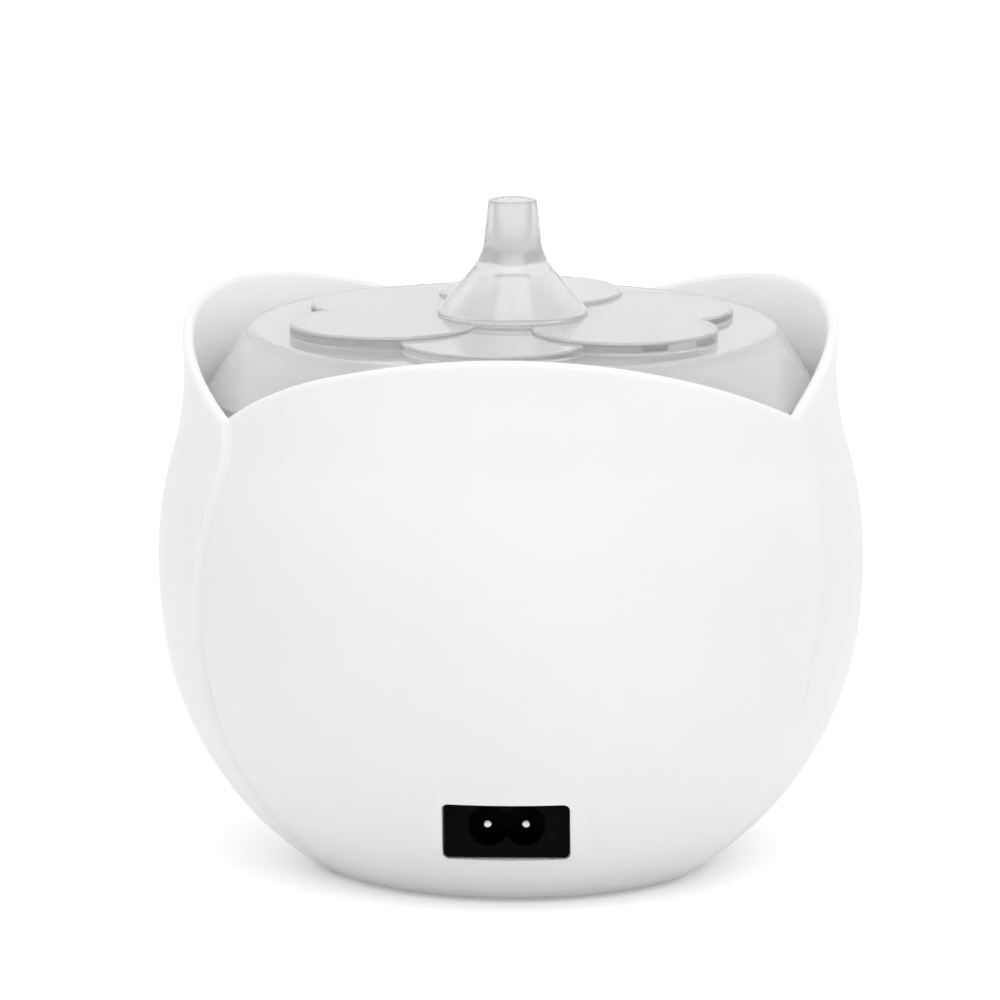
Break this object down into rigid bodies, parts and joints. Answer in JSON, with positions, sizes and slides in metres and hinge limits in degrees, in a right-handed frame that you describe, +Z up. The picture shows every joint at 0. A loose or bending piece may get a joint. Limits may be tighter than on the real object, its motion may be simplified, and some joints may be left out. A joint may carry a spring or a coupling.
{
  "type": "wax heater",
  "caption": "Tulip-shaped countertop wax heater with overlapping petal casing, lift-out pot, clear flower-relief lid with a conical knob, mains inlet and button panel.",
  "frame": {"origin": "centre of the base on the standing surface, under the body's axis", "axes": "+Z up along the body's axis, -Y towards the mains inlet side that the picture shows, +Y towards the button panel, +X to the right as the inlet side is seen"},
  "size_m": [0.1599, 0.1614, 0.1518],
  "materials": {
    "white_shell": "satin",
    "white_inner": "fine matt",
    "clear_plastic": "clear, polished",
    "smoked_plastic": "smoked, polished",
    "button_plastic": "satin",
    "black_plastic": "fine matt",
    "rubber": "matt",
    "aluminium": "spun",
    "steel": "plated",
    "pin_metal": "bright",
    "board": "lacquered",
    "component": "moulded",
    "socket_plastic": "moulded",
    "wire_jacket": "silicone"
  },
  "bodies": {
    "base": {"casing": "white_shell", "base_plate": "white_inner", "feet": "rubber", "base_screws": "steel", "deck_ring": "white_inner", "deck_screws": "steel", "heater_cup": "aluminium", "heating_element": "steel", "clamp_plate": "aluminium", "heat_shield": "aluminium", "clamp_studs": "steel", "shield_spacers": "steel", "stud_nuts": "steel", "thermostat": "component", "main_board": "board", "board_screws": "steel", "terminal_block": "socket_plastic", "relay": "component", "transformer": "component", "capacitor": "component", "sensor_socket": "socket_plastic", "cable_socket": "socket_plastic", "inlet_housing": "black_plastic", "inlet_pins": "pin_metal", "control_panel": "white_shell", "display_window": "smoked_plastic", "key_switches": "component", "display_module": "component", "panel_bracket": "white_inner", "control_board": "board", "bracket_screws": "steel", "control_board_screws": "steel", "panel_socket": "socket_plastic", "mains_wires": "wire_jacket", "heater_leads": "wire_jacket", "sensor_leads": "wire_jacket", "panel_cable": "wire_jacket"},
    "pot": {"pot": "aluminium"},
    "lid": {"lid_cover": "clear_plastic", "lid_flower": "clear_plastic", "lid_knob": "clear_plastic"},
    "power_key": {"power_button": "button_plastic", "power_plunger": "component"},
    "plus_key": {"plus_button": "button_plastic", "plus_plunger": "component"},
    "minus_key": {"minus_button": "button_plastic", "minus_plunger": "component"}
  },
  "joints": [
    {"name": "pot_lift", "type": "slide", "parent": "base", "child": "pot", "axis": [0, 0, 1], "range_m": [0, 0.1]},
    {"name": "lid_lift", "type": "slide", "parent": "pot", "child": "lid", "axis": [0, 0, 1], "range_m": [0, 0.06]},
    {"name": "power_press", "type": "slide", "parent": "base", "child": "power_key", "axis": [0, -1, 0], "range_m": [0, 0.0008], "stiffness_N_per_m": 1500},
    {"name": "plus_press", "type": "slide", "parent": "base", "child": "plus_key", "axis": [0, -1, 0], "range_m": [0, 0.0008], "stiffness_N_per_m": 1500},
    {"name": "minus_press", "type": "slide", "parent": "base", "child": "minus_key", "axis": [0, -1, 0], "range_m": [0, 0.0008], "stiffness_N_per_m": 1500}
  ]
}
